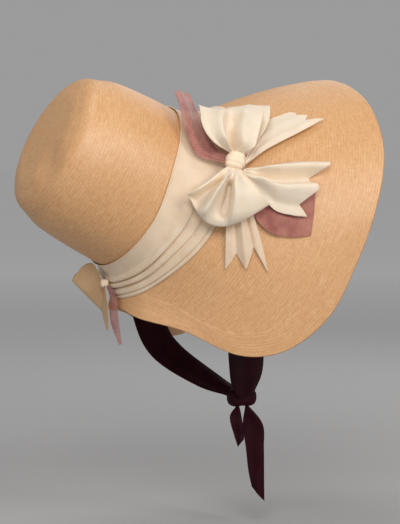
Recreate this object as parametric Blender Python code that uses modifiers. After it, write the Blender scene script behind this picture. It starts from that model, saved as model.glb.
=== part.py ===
# Straw poke bonnet with a pleated silk band, a side bow, a nape bow and chin ties.
# Metres, +Z up. The face looks along -Y and the wearer's right side is -X.
# The origin is the centre of the ring where the crown meets the brim.
# A turn is an angle round the crown: 0 at the nape, 90 at the wearer's right, 180 on top.
# A reach is a distance from that ring: positive along the brim, negative up the crown.

import bmesh
import bpy
import math
from functools import lru_cache
from mathutils import Matrix, Vector

# Driving sizes

crown_radius = 0.095
crown_height = 0.146
crown_lean = math.radians(26.7)     # the crown's axis rises this much towards the back
tip_dent_depth = 0.004
tip_dent_radius = 0.030
tip_dent_place = (0.052, 125)       # distance from the tip's centre, and turn
brim_reach = 0.2188                 # front edge ahead of the ring's centre
brim_half_width = 0.153
brim_drop = 0.168                   # lowest edge below the ring's centre
nape_lift = 0.009                   # the brim's edge is higher on the wearer's left of the nape
straw_thickness = 0.002
cloth_thickness = 0.0012
gap = 0.0004                        # running gap between pieces
root_gap = 0.0004                   # between a knot and the cloth that comes out of it

band_above = 0.025                  # how far the band climbs the crown
band_below = 0.036                  # how far it covers the brim at the sides
band_at_nape = 0.025
band_thickness = 0.0014
pleat_height = 0.0028
pleat_count = 3

bow_ribbon_width = 0.076
bow_turn = 115.5
bow_reach = 0.035
bow_lift = 0.015                    # the knot's centre above the surface under it
bow_knot_size = (0.0110, 0.0100, 0.0080)   # along, up and lift

nape_ribbon_width = 0.045
nape_knot_radius = 0.0045

tie_ribbon_width = 0.042
chin_reach = 0.107                  # the tie knot ahead of the ring's centre
chin_drop = 0.226                   # and below it
tie_knot_size = (0.012, 0.017, 0.011)

round_steps = 48                    # faces round the crown and the brim
brim_steps = 8
band_steps = 14

# Outlines, as shares of the sizes above

# height and radius, from the ring to the tip's centre
crown_profile = [
    (0.000, 1.000), (0.187, 0.984), (0.448, 0.968), (0.697, 0.930), (0.827, 0.862),
    (0.900, 0.818), (0.940, 0.750), (0.962, 0.672), (0.985, 0.552), (0.989, 0.371), (0.990, 0.000)]

# turn, edge to the side, edge ahead, edge height, flare in degrees at the ring, fullness of the curve
brim_edge = [
    (0, 0.000, -0.210, -0.714, 62, 0.40),
    (20, 0.301, -0.174, -0.774, 50, 0.45),
    (35, 0.523, -0.002, -0.848, 38, 0.45),
    (50, 0.706, 0.235, -1.000, 30, 0.50),
    (62, 0.824, 0.444, -0.972, 29, 0.50),
    (76, 0.928, 0.641, -0.762, 30, 0.50),
    (92, 0.987, 0.767, -0.440, 32, 0.50),
    (112, 1.000, 0.875, -0.085, 38, 0.50),
    (132, 0.889, 0.968, 0.276, 43, 0.50),
    (150, 0.641, 1.000, 0.562, 47, 0.50),
    (165, 0.353, 0.990, 0.718, 50, 0.50),
    (180, 0.000, 0.973, 0.778, 52, 0.50)]

# The bow's strips, in shares of its ribbon. Each row is one section, from the knot outwards:
# left edge along, up and lift; right edge along, up and lift; fold height; bulge of the middle.
# Along is away from the crown, up is round towards the top, lift is off the straw.
# The sections at the knot itself are worked out from its size.
loop_upper_rows = [
    (-0.36, 0.12, 0.34, 0.22, 0.15, 0.34, 0.07, 0.00),
    (-0.61, 0.24, 0.38, 0.26, 0.26, 0.38, 0.09, 0.00),
    (-0.78, 0.44, 0.39, 0.30, 0.42, 0.38, 0.08, 0.02),
    (-0.72, 0.84, 0.33, 0.38, 0.70, 0.32, -0.04, 0.02),
    (-0.60, 0.68, 0.24, 0.34, 0.60, 0.26, -0.02, 0.02),
    (-0.30, 0.38, 0.22, 0.22, 0.38, 0.23, 0.00, 0.00)]
loop_behind_rows = [
    (-0.16, 0.46, 0.155, 0.30, 0.40, 0.165, 0.00, 0.00),
    (-0.10, 0.86, 0.16, 0.44, 0.64, 0.19, 0.01, 0.00),
    (-0.04, 1.12, 0.14, 0.52, 0.94, 0.15, 0.01, 0.00),
    (-0.08, 0.84, 0.085, 0.42, 0.64, 0.11, 0.00, 0.00),
    (-0.12, 0.46, 0.10, 0.28, 0.40, 0.12, 0.00, 0.00)]
loop_lower_rows = [
    (-0.29, -0.40, 0.36, 0.27, -0.27, 0.35, 0.05, 0.00),
    (-0.45, -0.58, 0.40, 0.44, -0.36, 0.38, 0.06, -0.06),
    (-0.56, -0.70, 0.28, 0.58, -0.40, 0.28, 0.04, -0.33),
    (-0.48, -0.64, 0.19, 0.50, -0.36, 0.21, 0.00, -0.28),
    (-0.26, -0.38, 0.19, 0.26, -0.26, 0.21, 0.00, -0.04)]
tail_right_rows = [
    (0.43, 0.04, 0.13, 0.37, -0.28, 0.13, -0.05, 0.00),
    (0.64, 0.11, 0.11, 0.66, -0.42, 0.11, -0.05, 0.00),
    (0.94, 0.17, 0.11, 0.92, -0.41, 0.10, -0.03, 0.00),
    (1.29, 0.22, 0.09, 1.13, -0.37, 0.09, -0.02, 0.00)]
tail_upper_rows = [
    (0.24, 0.60, 0.05, 0.36, 0.25, 0.10, 0.00, 0.00),
    (0.44, 0.78, 0.05, 0.61, 0.42, 0.08, 0.00, 0.00),
    (0.68, 0.85, 0.06, 0.94, 0.59, 0.08, 0.00, 0.00),
    (0.79, 0.88, 0.06, 1.26, 0.75, 0.07, 0.00, 0.00)]
tail_lower_rows = [
    (0.00, -0.52, 0.11, 0.28, -0.40, 0.12, 0.02, 0.00),
    (0.14, -0.83, 0.08, 0.50, -0.64, 0.09, 0.03, 0.00),
    (0.29, -1.09, 0.06, 0.71, -0.83, 0.07, 0.03, 0.00),
    (0.44, -1.30, 0.014, 0.97, -1.04, 0.018, 0.00, 0.00)]
gauze_upper_rows = [
    (-0.58, -0.01, 0.12, -0.32, 0.26, 0.10, 0.01, 0.00),
    (-0.88, 0.21, 0.19, -0.46, 0.58, 0.11, 0.02, 0.00),
    (-1.06, 0.50, 0.27, -0.58, 0.98, 0.17, 0.02, 0.00),
    (-1.17, 0.86, 0.32, -0.86, 1.14, 0.31, 0.01, 0.06)]
gauze_lower_rows = [
    (0.17, -0.16, 0.035, 0.10, -0.22, 0.035, 0.00, 0.00),
    (0.56, -0.34, 0.022, 0.46, -0.58, 0.040, 0.00, 0.00),
    (0.82, -0.22, 0.020, 0.78, -0.65, 0.050, 0.00, 0.00),
    (1.00, -0.12, 0.018, 1.04, -0.62, 0.035, 0.00, 0.00),
    (1.16, -0.06, 0.014, 1.29, -0.53, 0.016, 0.00, 0.00)]

# The nape bow's strips, in shares of its ribbon, from the nape point:
# each edge to the left, back and up; then fold height and bulge.
nape_loop_rows = [
    (0.24, 0.24, 0.46, 0.24, 0.00, -0.14, 0.00, 0.00),
    (0.38, 0.46, 0.36, 0.38, -0.02, -0.44, 0.00, 0.00),
    (0.56, 0.62, 0.04, 0.56, -0.06, -0.70, 0.00, 0.00),
    (0.74, 0.46, 0.20, 0.74, -0.02, -0.50, 0.00, 0.00),
    (0.72, 0.26, 0.26, 0.72, 0.02, -0.26, 0.00, 0.00)]
nape_tail_rows = [
    (0.26, -0.08, -0.42, -0.10, -0.01, -0.42, 0.00, 0.00),
    (0.34, -0.12, -0.75, -0.12, -0.04, -0.75, 0.00, 0.00),
    (0.16, -0.10, -1.12, -0.10, -0.06, -1.08, 0.00, 0.00)]
nape_gauze_rows = [
    (-0.05, -0.12, -0.36, -0.32, -0.16, -0.34, 0.00, 0.00),
    (-0.03, -0.12, -0.72, -0.36, -0.19, -0.70, 0.00, 0.00),
    (-0.07, -0.16, -1.05, -0.34, -0.24, -1.05, 0.00, 0.00),
    (-0.20, -0.30, -1.50, -0.27, -0.33, -1.48, 0.00, 0.00)]

# The chin ties. Each row is one section: its middle to the side, ahead and down, in shares of
# chin_reach and chin_drop; then from its middle to its front edge, the same way, in shares of
# tie_ribbon_width.
tie_right_rows = [
    (0.840, 0.430, 0.350, -0.05, 0.48, 0.00),
    (0.600, 0.720, 0.625, -0.05, 0.51, -0.03),
    (0.420, 0.840, 0.780, 0.00, 0.51, -0.11),
    (0.220, 0.945, 0.905, 0.00, 0.45, -0.13)]
tie_left_rows = [
    (0.795, 0.195, 0.350, -0.01, 0.45, 0.00),
    (0.660, 0.225, 0.620, 0.03, 0.47, 0.00),
    (0.560, 0.375, 0.780, 0.05, 0.42, -0.16),
    (0.300, 0.740, 0.925, 0.05, 0.36, -0.13)]
tie_tail_long_rows = [
    (-0.010, 1.120, 1.140, -0.10, 0.25, 0.00),
    (0.000, 1.150, 1.260, -0.10, 0.22, 0.00),
    (0.005, 1.170, 1.390, -0.09, 0.19, 0.05),
    (0.015, 1.195, 1.495, -0.08, 0.15, 0.19)]
tie_tail_short_rows = [
    (-0.070, 0.890, 1.095, -0.05, 0.15, 0.00),
    (-0.080, 0.922, 1.175, -0.05, 0.12, -0.03),
    (-0.100, 0.935, 1.225, -0.04, 0.07, -0.10)]
tie_anchor_turn = 96
tie_seam_drop = 6                   # degrees of turn that the sewn end runs down the brim
seam_clearance = 0.0012
tie_anchor_reach = 0.010            # of the sewn end's back edge, inside the brim

# Directions

axis = Vector((0, math.cos(crown_lean), math.sin(crown_lean)))
rise = Vector((0, -math.sin(crown_lean), math.cos(crown_lean)))
side = Vector((-1, 0, 0))


def outward(turn):
    angle = math.radians(turn)
    return side * math.sin(angle) - rise * math.cos(angle)


def smooth(rows, place, column):
    """Read one column of a table at a place in its first column, along a smooth curve."""
    last = len(rows) - 2
    i = 0
    while i < last and rows[i + 1][0] < place:
        i += 1
    x0, x1 = rows[i][0], rows[i + 1][0]
    y0, y1 = rows[i][column], rows[i + 1][column]
    step = x1 - x0
    slope = (y1 - y0) / step
    before = rows[i - 1] if i > 0 else None
    after = rows[i + 2] if i + 2 < len(rows) else None
    slope0 = (y1 - before[column]) / (x1 - before[0]) if before else slope
    slope1 = (after[column] - y0) / (after[0] - x0) if after else slope
    t = (place - x0) / step
    return ((1 + 2 * t) * (1 - t) ** 2 * y0 + t * (1 - t) ** 2 * step * slope0
            + t * t * (3 - 2 * t) * y1 + t * t * (t - 1) * step * slope1)


def ease(value):
    value = min(max(value, 0.0), 1.0)
    return value * value * (3 - 2 * value)


def turn_from_nape(turn):
    return abs((turn + 180) % 360 - 180)


# Surfaces that the pieces lie on

brim_table = [(-row[0], -row[1], *row[2:]) for row in brim_edge[2:0:-1]]
brim_table += brim_edge
brim_table += [(360 - row[0], -row[1], *row[2:]) for row in brim_edge[-2:-4:-1]]
rib_samples = 40


@lru_cache(maxsize=None)
def rib(turn):
    """The brim's curve at one turn: its points, and the length up to each."""
    half = turn_from_nape(turn)
    wearer_right = (turn % 360) <= 180
    edge = Vector((-smooth(brim_table, half, 1) * brim_half_width,
                   -smooth(brim_table, half, 2) * brim_reach,
                   smooth(brim_table, half, 3) * brim_drop))
    flare = math.radians(smooth(brim_table, half, 4))
    fullness = smooth(brim_table, half, 5)
    start = outward(half) * crown_radius
    heading = outward(half) * math.sin(flare) - axis * math.cos(flare)
    middle = start + heading * (edge - start).length * fullness
    if not wearer_right:
        edge.z += nape_lift * ease(1 - abs(half - 38) / 34)
    points = []
    for k in range(rib_samples + 1):
        t = k / rib_samples
        point = start * (1 - t) ** 2 + middle * 2 * t * (1 - t) + edge * t * t
        if not wearer_right:
            point.x = -point.x
        points.append(point)
    lengths = [0.0]
    for a, b in zip(points, points[1:]):
        lengths.append(lengths[-1] + (b - a).length)
    return points, lengths


def rib_length(turn):
    return rib(turn)[1][-1]


def brim_at(turn, reach):
    points, lengths = rib(turn)
    k = 1
    while k < rib_samples and lengths[k] < reach:
        k += 1
    share = (reach - lengths[k - 1]) / (lengths[k] - lengths[k - 1])
    return points[k - 1].lerp(points[k], share)


def crown_at(turn, height):
    radius = smooth(crown_profile, height / crown_height, 1) * crown_radius
    return axis * height + outward(turn) * radius


def band_edge_reach(turn):
    return band_at_nape + (band_below - band_at_nape) * ease((turn_from_nape(turn) - 30) / 50)


def carrier(turn, reach):
    """The straw's outside, rounded over where the band bridges from the crown to the brim."""
    low = band_edge_reach(turn)
    if reach >= low:
        return brim_at(turn, reach)
    if reach <= -band_above:
        return crown_at(turn, -reach)
    t = (reach + band_above) / (low + band_above)
    corner = outward(turn) * (crown_radius + 2 * gap)
    return (crown_at(turn, band_above) * (1 - t) ** 2 + corner * 2 * t * (1 - t)
            + brim_at(turn, low) * t * t)


def lifted(turn, reach, lift, surface=carrier):
    """A point off a surface, square to it. A negative lift lies inside."""
    small = 0.0008
    point = surface(turn, reach)
    along = surface(turn, reach + small) - surface(turn, reach - small)
    around = surface(turn + 0.6, reach) - surface(turn - 0.6, reach)
    normal = around.cross(along).normalized()
    if normal.dot(outward(turn)) < 0:
        normal = -normal
    return point + normal * lift


# Making meshes

def make_material(name, color, roughness):
    material = bpy.data.materials.new(name)
    material.use_nodes = True
    shader = material.node_tree.nodes["Principled BSDF"]
    shader.inputs["Base Color"].default_value = (*color, 1)
    shader.inputs["Roughness"].default_value = roughness
    shader.inputs["Metallic"].default_value = 0
    return material


def add_object(name, mesh_data, material):
    mesh = bpy.data.meshes.new(name)
    mesh_data.to_mesh(mesh)
    mesh_data.free()
    mesh.shade_smooth()
    mesh.set_sharp_from_angle(angle=math.radians(50))
    mesh.materials.append(material)
    obj = bpy.data.objects.new(name, mesh)
    bonnet.objects.link(obj)
    return obj


def thicken(obj, thickness, offset):
    wall = obj.modifiers.new("wall", "SOLIDIFY")
    wall.thickness = thickness
    wall.offset = offset
    wall.use_even_offset = False


def grid(name, across_steps, long_steps, place, closed, material):
    """A grid whose corner (across, long), both 0 to 1, goes to place(across, long)."""
    bm = bmesh.new()
    bmesh.ops.create_grid(bm, x_segments=across_steps, y_segments=long_steps, size=0.5)
    for vert in bm.verts:
        vert.co = place(round(vert.co.x + 0.5, 6), round(vert.co.y + 0.5, 6))
    if closed:
        bmesh.ops.remove_doubles(bm, verts=bm.verts, dist=0.00001)
    bmesh.ops.recalc_face_normals(bm, faces=bm.faces)
    return add_object(name, bm, material)


def face_out(obj, centre):
    """Turn an open shell's faces away from a centre."""
    bm = bmesh.new()
    bm.from_mesh(obj.data)
    total = sum((f.calc_center_median() - centre).dot(f.normal) * f.calc_area() for f in bm.faces)
    if total < 0:
        bmesh.ops.reverse_faces(bm, faces=bm.faces)
    bm.to_mesh(obj.data)
    bm.free()


# Strips of cloth

def section(rows, place):
    """All columns of a strip's table at a place from 0, its root, to 1, its end."""
    numbered = [(k / (len(rows) - 1), *row) for k, row in enumerate(rows)]
    return [smooth(numbered, place, column) for column in range(1, len(rows[0]) + 1)]


def notch(across, teeth):
    """1 at the foot of each notch of a toothed end and 0 at each tip."""
    phase = across * (teeth - 1) % 1
    return 1 - abs(phase * 2 - 1)


def strip(name, rows, frame, material, long_steps, across_steps=8, teeth=0, notch_depth=0.0,
          folds=2, wall=cloth_thickness):
    """A ribbon between the two edges in its table, with lengthwise folds and a toothed end."""
    def place(across, long):
        along = long
        if teeth:
            along = long * (1 - notch_depth * notch(across, teeth))
        a0, b0, c0, a1, b1, c1, fold, bulge = section(rows, along)
        wave = math.sin(math.pi * across * folds) ** 2
        swell = 4 * across * (1 - across)
        return frame(a0 + (a1 - a0) * across, b0 + (b1 - b0) * across + bulge * swell,
                     c0 + (c1 - c0) * across + fold * wave)
    obj = grid(name, across_steps, long_steps, place, False, material)
    thicken(obj, wall, 0)
    return obj


def on_bow(along, up, lift):
    ring = carrier(bow_turn, bow_reach)
    radius = (ring - axis * ring.dot(axis)).length
    turn = bow_turn + math.degrees(up * bow_ribbon_width / radius)
    return lifted(turn, bow_reach + along * bow_ribbon_width, lift * bow_ribbon_width)


def on_nape(left, back, up):
    return nape_point + Vector((left, back, up)) * nape_ribbon_width


# Knots, and the sections of cloth that come out of them

squareness = 0.8                    # 1 is an ellipsoid, less is more like a pillow


def knot_half(radii, k, offsets):
    """How far a knot reaches along its axis k, at offsets from its centre along the other two."""
    left = 1.0
    for m, offset in enumerate(offsets):
        if m != k:
            left -= abs(offset / radii[m]) ** (2 / squareness)
    return radii[k] * max(left, 0.0) ** (squareness / 2)


def bow_place(point):
    """The along, up and lift, in shares of the bow's ribbon, of a point near its knot."""
    place = Vector((0, 0, bow_lift / bow_ribbon_width))
    for _ in range(8):
        miss = point - on_bow(*place)
        place += Vector([miss.dot(direction) for direction in knot_axes]) / bow_ribbon_width
    return place


def bow_root(k, sign, half_width, height, middle=0.0):
    """The section where a strip leaves the bow's knot: along it (k 0) or up and down (k 1).
    Its half width and middle are shares of the ribbon, its height is a share of the knot's."""
    across = 1 - k
    local = Vector((0, 0, height * bow_knot_size[2]))
    local[across] = max(abs(middle) - half_width, 0) * bow_ribbon_width
    local[k] = sign * (knot_half(bow_knot_size, k, local) + root_gap)
    row = []
    for edge in ((1, -1) if k == 0 and sign > 0 else (-1, 1)):
        local[across] = (middle + edge * half_width) * bow_ribbon_width
        row.extend(bow_place(knot_centre + Matrix(knot_axes).transposed() @ local))
    return (*row, 0.0, 0.0)


def nape_root(direction, spread):
    """The section where a strip leaves the nape knot, given the way out and the way across."""
    out = Vector(direction).normalized() * (nape_knot_radius + 2 * root_gap) / nape_ribbon_width
    across = Vector(spread)
    return (*(out + across), *(out - across), 0.0, 0.0)


# Pieces

def make_crown(material):
    bm = bmesh.new()
    heights = [k / 5 * crown_profile[4][0] for k in range(5)]
    rows = [(h, smooth(crown_profile, h, 1)) for h in heights]
    rows += crown_profile[4:]
    verts = [bm.verts.new((r * crown_radius, 0, h * crown_height)) for h, r in rows]
    edges = [bm.edges.new(pair) for pair in zip(verts, verts[1:])]
    bmesh.ops.spin(bm, geom=verts + edges, cent=(0, 0, 0), axis=(0, 0, 1),
                   angle=math.tau, steps=round_steps, use_merge=True)
    bmesh.ops.remove_doubles(bm, verts=bm.verts, dist=0.00001)
    distance, dent_turn = tip_dent_place
    dent = Vector((-math.sin(math.radians(dent_turn)), -math.cos(math.radians(dent_turn)))) * distance
    for vert in bm.verts:
        near = 1 - (vert.co.xy - dent).length / tip_dent_radius
        vert.co.z -= tip_dent_depth * ease(near) * ease((vert.co.z / crown_height - 0.9) / 0.05)
    bmesh.ops.recalc_face_normals(bm, faces=bm.faces)
    crown = add_object("crown", bm, material)
    crown.rotation_euler.x = crown_lean - math.pi / 2
    face_out(crown, Vector((0, 0, crown_height / 2)))
    thicken(crown, straw_thickness, -1)
    return crown


def make_brim(material):
    def place(around, out):
        turn = around * 360
        length = rib_length(turn)
        return brim_at(turn, gap + (length - gap) * out)
    brim = grid("brim", round_steps, brim_steps, place, True, material)
    face_out(brim, -axis * 0.1)
    thicken(brim, straw_thickness, -1)
    return brim


def pleat(share, turn):
    """Height of the band's pleats over its smooth face. The pleats lie on its lower half."""
    low = (share - 0.40) / 0.60
    if low <= 0 or low >= 1:
        return 0.0
    strength = 1 - ease((turn_from_nape(turn) - 70) / 35)
    return pleat_height * strength * abs(math.sin(math.pi * pleat_count * low)) ** 0.8


def make_band(material):
    def place(around, down):
        turn = around * 360
        reach = -band_above + (band_edge_reach(turn) + band_above) * down
        return lifted(turn, reach, gap + 3 * gap * math.sin(math.pi * down) + pleat(down, turn))
    band = grid("band", round_steps, band_steps, place, True, material)
    face_out(band, Vector((0, 0, 0)))
    thicken(band, band_thickness, 1)
    return band


def make_knot(name, centre, radii, material, axes=None):
    """A pillow-shaped knot. Its axes are the world's, or the three given."""
    bm = bmesh.new()
    bmesh.ops.create_uvsphere(bm, u_segments=14, v_segments=8, radius=1)
    for vert in bm.verts:
        for k in range(3):
            vert.co[k] = math.copysign(abs(vert.co[k]) ** squareness, vert.co[k]) * radii[k]
    knot = add_object(name, bm, material)
    knot.location = centre
    if axes:
        knot.rotation_euler = Matrix(axes).transposed().to_euler()
    return knot


def tie_edges(row, side_sign):
    """The front and back edges of one section of a tie, from its row."""
    middle = Vector((side_sign * row[0] * chin_reach, -row[1] * chin_reach, -row[2] * chin_drop))
    half = Vector((side_sign * row[3], -row[4], -row[5])) * tie_ribbon_width
    return middle + half, middle - half


def tie_sheet(name, ends, long_steps, material):
    """A ribbon through the given pairs of edge points."""
    table = [(k / (len(ends) - 1), *front, *back) for k, (front, back) in enumerate(ends)]

    def place(across, long):
        values = [smooth(table, long, column) for column in range(1, 7)]
        return Vector(values[:3]).lerp(Vector(values[3:]), across)
    obj = grid(name, 3, long_steps, place, False, material)
    thicken(obj, cloth_thickness, 0)
    return obj


def make_tie(name, rows, side_sign, material):
    """A strap from the brim's inside at the ear to the tie knot."""
    def seam(drop, depth):
        turn = side_sign * (tie_anchor_turn - drop)
        inside = -(straw_thickness + cloth_thickness / 2 + depth)
        return (lifted(turn, tie_anchor_reach + tie_ribbon_width, inside, brim_at),
                lifted(turn, tie_anchor_reach, inside, brim_at))

    ends = [seam(0, seam_clearance), seam(tie_seam_drop, 3 * seam_clearance)]
    ends += [tie_edges(row, -side_sign) for row in rows]
    width, depth, height = tie_knot_size
    across = -side_sign * (width + root_gap)
    ends.append((Vector((across, -chin_reach - 0.5 * depth, -chin_drop + 0.3 * height)),
                 Vector((across, -chin_reach + 0.5 * depth, -chin_drop - 0.1 * height))))
    return tie_sheet(name, ends, 14, material)


def make_tie_tail(name, rows, root, material):
    """A hanging end. root gives how far to the side and ahead of the knot's centre its top lies."""
    top = []
    for side_offset, ahead in root:
        below = knot_half(tie_knot_size, 2, (side_offset, ahead, 0)) + root_gap
        top.append(Vector((side_offset, -chin_reach - ahead, -chin_drop - below)))
    return tie_sheet(name, [tuple(top)] + [tie_edges(row, 1) for row in rows], 9, material)


# Build

for old in list(bpy.data.objects):
    bpy.data.objects.remove(old, do_unlink=True)
bonnet = bpy.data.collections.new("bonnet")
bpy.context.scene.collection.children.link(bonnet)

straw_material = make_material("plaited straw", (0.62, 0.38, 0.20), 0.7)
silk_material = make_material("cream silk", (0.72, 0.60, 0.42), 0.5)
gauze_material = make_material("mauve gauze", (0.33, 0.14, 0.13), 0.8)
plum_material = make_material("plum ribbon", (0.045, 0.008, 0.015), 0.6)

make_crown(straw_material)
make_brim(straw_material)
make_band(silk_material)

nape_point = lifted(-2, 0, 6 * gap + band_thickness + pleat_height + nape_knot_radius)

knot_centre = on_bow(0, 0, bow_lift / bow_ribbon_width)
knot_normal = (knot_centre - on_bow(0, 0, 0)).normalized()
knot_along = (on_bow(0.1, 0, 0) - on_bow(-0.1, 0, 0)).normalized()
knot_along = (knot_along - knot_normal * knot_along.dot(knot_normal)).normalized()
knot_axes = (knot_along, knot_normal.cross(knot_along), knot_normal)
make_knot("bow_knot", knot_centre, bow_knot_size, silk_material, knot_axes)
loop_upper_rows = [bow_root(1, 1, 0.08, 0.26), *loop_upper_rows, bow_root(1, 1, 0.08, -0.07)]
loop_behind_rows = [bow_root(1, 1, 0.07, -0.40), *loop_behind_rows, bow_root(1, 1, 0.07, -0.73)]
loop_lower_rows = [bow_root(1, -1, 0.08, 0.26), *loop_lower_rows, bow_root(1, -1, 0.08, -0.07)]
tail_right_rows.insert(0, bow_root(0, 1, 0.05, -0.07, -0.035))
tail_upper_rows.insert(0, bow_root(0, 1, 0.03, -0.69, 0.045))
tail_lower_rows.insert(0, bow_root(1, -1, 0.07, -0.45))
gauze_upper_rows.insert(0, bow_root(0, -1, 0.05, -0.07))
strip("bow_loop_upper", loop_upper_rows, on_bow, silk_material, 16)
strip("bow_loop_behind", loop_behind_rows, on_bow, silk_material, 12)
strip("bow_loop_lower", loop_lower_rows, on_bow, silk_material, 14)
strip("bow_tail_right", tail_right_rows, on_bow, silk_material, 7, teeth=3, notch_depth=0.16)
strip("bow_tail_upper", tail_upper_rows, on_bow, silk_material, 7, teeth=3, notch_depth=0.12)
strip("bow_tail_lower", tail_lower_rows, on_bow, silk_material, 7, teeth=3, notch_depth=0.19)
strip("gauze_loop_upper", gauze_upper_rows, on_bow, gauze_material, 8, folds=1)
strip("gauze_loop_lower", gauze_lower_rows, on_bow, gauze_material, 7, folds=1)

make_knot("nape_knot", nape_point, (nape_knot_radius,) * 3, silk_material)
nape_loop_rows.insert(0, nape_root((1, 0.25, 0), (0, 0.02, 0.07)))
nape_tail_rows.insert(0, nape_root((0.25, 0, -1), (0.04, 0, 0)))
nape_gauze_rows.insert(0, nape_root((-0.7, -0.3, -0.9), (0.03, 0, -0.02)))
strip("nape_loop", nape_loop_rows, on_nape, silk_material, 8, across_steps=4)
strip("nape_tail", nape_tail_rows, on_nape, silk_material, 6, across_steps=2)
strip("nape_gauze_tail", nape_gauze_rows, on_nape, gauze_material, 8, across_steps=4)

long_root = ((0.002, 0.007), (-0.004, 0.001))
short_root = ((0.001, -0.005), (-0.003, -0.010))
make_tie("tie_right", tie_right_rows, 1, plum_material)
make_tie("tie_left", tie_left_rows, -1, plum_material)
make_knot("tie_knot", (0, -chin_reach, -chin_drop), tie_knot_size, plum_material)
make_tie_tail("tie_tail_long", tie_tail_long_rows, long_root, plum_material)
make_tie_tail("tie_tail_short", tie_tail_short_rows, short_root, plum_material)
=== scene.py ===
# Straw poke bonnet: braid crown and brim, pleated silk band, side bow with gauze, nape bow, chin ties.
# Metres, +Z up. The face looks along -Y and the wearer's right side is at -X.
import bpy
import math
from bisect import bisect_left
from functools import lru_cache
from mathutils import Matrix, Vector


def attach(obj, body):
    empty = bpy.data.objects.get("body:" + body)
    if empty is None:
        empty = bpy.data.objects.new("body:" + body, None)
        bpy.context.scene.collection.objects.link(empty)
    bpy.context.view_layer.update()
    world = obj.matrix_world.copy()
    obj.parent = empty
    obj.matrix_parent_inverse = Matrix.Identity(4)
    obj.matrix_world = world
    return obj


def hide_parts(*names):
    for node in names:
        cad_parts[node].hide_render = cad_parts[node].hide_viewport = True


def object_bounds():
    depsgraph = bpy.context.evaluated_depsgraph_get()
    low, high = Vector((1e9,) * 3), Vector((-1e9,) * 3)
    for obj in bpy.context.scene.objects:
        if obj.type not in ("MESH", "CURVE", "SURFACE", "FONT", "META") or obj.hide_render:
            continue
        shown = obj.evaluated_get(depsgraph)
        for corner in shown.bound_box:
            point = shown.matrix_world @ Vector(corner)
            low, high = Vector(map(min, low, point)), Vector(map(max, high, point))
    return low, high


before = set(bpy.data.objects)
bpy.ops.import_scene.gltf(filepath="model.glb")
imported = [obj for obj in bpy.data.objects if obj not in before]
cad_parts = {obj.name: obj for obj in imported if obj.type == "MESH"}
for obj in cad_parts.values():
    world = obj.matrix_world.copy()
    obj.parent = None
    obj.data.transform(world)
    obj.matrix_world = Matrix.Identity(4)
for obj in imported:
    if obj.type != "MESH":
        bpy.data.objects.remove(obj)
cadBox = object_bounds()
print("frame loaded:", len(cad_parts), "nodes")

# Small helpers for material nodes

def startMaterial(name):
    material = bpy.data.materials.new(name)
    material.use_nodes = True
    return material, material.node_tree, material.node_tree.nodes["Principled BSDF"]


def addNode(tree, kind, *sockets, **settings):
    # a shader node; each socket given is a number, a colour or another node's output
    node = tree.nodes.new("ShaderNode" + kind)
    for key, value in settings.items():
        setattr(node, key, value)
    for k, value in enumerate(sockets):
        if isinstance(value, bpy.types.NodeSocket):
            tree.links.new(value, node.inputs[k])
        elif value is not None:
            node.inputs[k].default_value = value
    return node


def sums(tree, operation, a, b=None):
    return addNode(tree, "Math", a, b, operation=operation).outputs[0]


def mixColour(tree, share, a, b):
    node = tree.nodes.new("ShaderNodeMix")
    node.data_type = "RGBA"
    colourIn = [s for s in node.inputs if s.type == "RGBA"]
    for socket, value in ((node.inputs[0], share), (colourIn[0], a), (colourIn[1], b)):
        if isinstance(value, bpy.types.NodeSocket):
            tree.links.new(value, socket)
        else:
            socket.default_value = value if isinstance(value, float) else (*value, 1)
    return [s for s in node.outputs if s.type == "RGBA"][0]


def noise(tree, vector, scale, detail=3.0, rough=0.55):
    node = tree.nodes.new("ShaderNodeTexNoise")
    tree.links.new(vector, node.inputs["Vector"])
    node.inputs["Scale"].default_value = scale
    node.inputs["Detail"].default_value = detail
    node.inputs["Roughness"].default_value = rough
    return node.outputs[0]


def spread(tree, value, low, high, newLow=0.0, newHigh=1.0):
    node = addNode(tree, "MapRange", value, low, high, newLow, newHigh)
    return node.outputs[0]


# Stage: camera, lights and floor

view = {
    "azimuth": 245.0,          # degrees, 0 looks along +Y
    "elevation": 3.0,
    "distance": 2.4,
    "lens": 149.9,             # mm, on a 36 mm high frame
    "originRight": -0.0495,    # where the ring's centre lies in the picture, from its middle
    "originUp": 0.0715,
}

lights = [
    # name, from the right, up and towards the camera of the ring's centre; size, power, colour
    ("key", 1.50, 0.80, 1.70, 0.7, 20.0, (1.0, 0.96, 0.91)),
    ("front", 0.10, 0.95, 2.10, 0.8, 22.0, (1.0, 0.97, 0.93)),
    ("top", -0.35, 1.95, 0.35, 0.8, 10.0, (1.0, 0.97, 0.93)),
    ("fill", -1.70, 0.30, 1.70, 1.6, 3.0, (0.97, 0.98, 1.0)),
    ("back", 0.60, 1.30, -1.60, 1.2, 6.0, (1.0, 0.98, 0.96)),
]

floorLook = {
    "gapBelow": 0.03,          # between the lowest ribbon end and the floor
    "radius": 40.0,
    "roughness": 0.9,
    "near": (0.42, 0.42, 0.425),   # painted shade, darker under the bonnet, which also keeps bounce light off it; and paler far off, painted to look as bright as the air where it meets it
    "far": (0.98, 0.98, 0.985),
    "nearTo": 0.6,
    "farFrom": 5.0,
    "air": (0.33, 0.33, 0.333),
}

azimuth, elevation = math.radians(view["azimuth"]), math.radians(view["elevation"])
toCamera = Vector((math.sin(azimuth) * math.cos(elevation),
                   -math.cos(azimuth) * math.cos(elevation), math.sin(elevation)))
toRight = Vector((math.cos(azimuth), math.sin(azimuth), 0))
toTop = toCamera.cross(toRight)


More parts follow.
